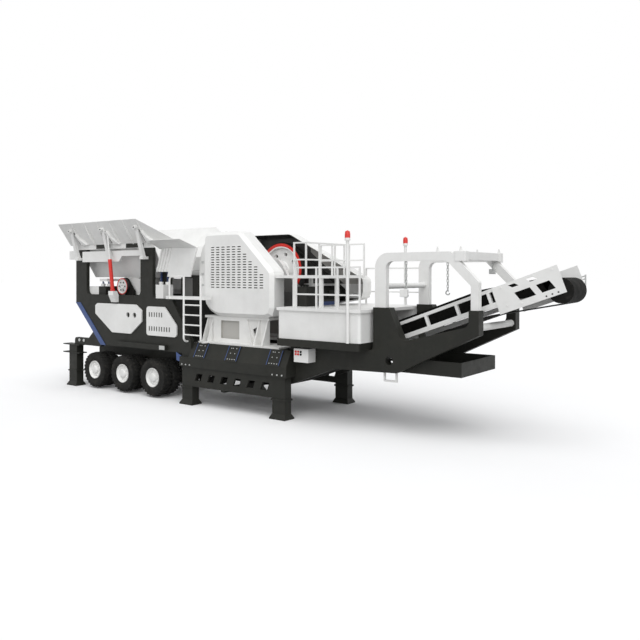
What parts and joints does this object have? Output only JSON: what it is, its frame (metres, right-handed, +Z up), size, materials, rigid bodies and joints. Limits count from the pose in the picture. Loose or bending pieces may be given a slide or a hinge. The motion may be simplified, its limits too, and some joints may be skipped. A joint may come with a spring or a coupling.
{
  "type": "portable jaw crushing plant",
  "caption": "Trailer-mounted jaw crushing plant on support legs, with a winged feed hopper, vibrating feeder, flywheel guards, walkway, hoist arches and a sloping belt conveyor.",
  "frame": {"origin": "on the ground, under the middle of the plant's overall box", "axes": "+X towards the head of the conveyor, +Y away from the ladder side, +Z up"},
  "size_m": [15.5809, 3.8262, 5.045],
  "materials": {
    "chassis": "satin",
    "white": "satin",
    "blue": "satin",
    "red": "satin",
    "steel": "satin",
    "manganese": "rough",
    "wheel_grey": "satin",
    "tyre": "matt",
    "belt": "matt"
  },
  "bodies": {
    "plant": {"arches": "white", "axles": "chassis", "beacon_lamps": "red", "beacon_poles": "white", "cabinet_ledges": "chassis", "cabinets": "white", "conveyor_belt": "belt", "conveyor_rollers": "belt", "conveyor_trusses": "white", "coupler_tray": "chassis", "cover_panels": "white", "cross_members": "chassis", "cross_tubes": "white", "crusher_end_walls": "white", "crusher_side_walls": "white", "crusher_stand": "white", "decks": "white", "drive_belts": "belt", "drive_motor": "blue", "edge_strips": "blue", "exciter": "white", "feeder_pan": "white", "feeder_springs": "blue", "fixed_jaw": "manganese", "flywheel_guards": "white", "front_frames": "chassis", "head_plates": "white", "hoist_chains": "steel", "hopper_rails": "white", "hopper_walls": "white", "hopper_wings": "white", "ladder": "white", "long_boxes": "chassis", "main_girders": "chassis", "near_guard_face": "white", "oil_tank": "chassis", "railings": "white", "ram_brackets": "white", "side_covers": "white", "side_plates": "chassis", "slotted_beams": "chassis", "spring_seats": "white", "support_legs": "chassis", "suspension": "chassis", "swing_jaw": "manganese", "trailer_rails": "chassis", "wing_props": "white", "wing_ram_barrels": "red", "wing_ram_rods": "white"},
    "near_wheel_1": {"near_wheel_1": "tyre"},
    "near_wheel_2": {"near_wheel_2": "tyre"},
    "near_wheel_3": {"near_wheel_3": "tyre"},
    "far_wheel_1": {"far_wheel_1": "tyre"},
    "far_wheel_2": {"far_wheel_2": "tyre"},
    "far_wheel_3": {"far_wheel_3": "tyre"},
    "crusher_shaft": {"eccentric_shaft": "steel", "flywheels": "wheel_grey"},
    "exciter_pulley": {"exciter_pulley": "wheel_grey"}
  },
  "joints": [
    {"name": "near_wheel_1_spin", "type": "hinge", "parent": "plant", "child": "near_wheel_1", "pos_m": [-6.26, -1.08, 0.57], "axis": [0, 1, 0], "continuous": true},
    {"name": "near_wheel_2_spin", "type": "hinge", "parent": "plant", "child": "near_wheel_2", "pos_m": [-4.91, -1.08, 0.57], "axis": [0, 1, 0], "continuous": true},
    {"name": "near_wheel_3_spin", "type": "hinge", "parent": "plant", "child": "near_wheel_3", "pos_m": [-3.56, -1.08, 0.57], "axis": [0, 1, 0], "continuous": true},
    {"name": "far_wheel_1_spin", "type": "hinge", "parent": "plant", "child": "far_wheel_1", "pos_m": [-6.26, 1.08, 0.57], "axis": [0, 1, 0], "continuous": true},
    {"name": "far_wheel_2_spin", "type": "hinge", "parent": "plant", "child": "far_wheel_2", "pos_m": [-4.91, 1.08, 0.57], "axis": [0, 1, 0], "continuous": true},
    {"name": "far_wheel_3_spin", "type": "hinge", "parent": "plant", "child": "far_wheel_3", "pos_m": [-3.56, 1.08, 0.57], "axis": [0, 1, 0], "continuous": true},
    {"name": "crusher_shaft_spin", "type": "hinge", "parent": "plant", "child": "crusher_shaft", "pos_m": [-0.58, 0, 3.62], "axis": [0, 1, 0], "continuous": true},
    {"name": "exciter_pulley_spin", "type": "hinge", "parent": "plant", "child": "exciter_pulley", "pos_m": [-5.34, -1.015, 3.13], "axis": [0, 1, 0], "continuous": true}
  ]
}
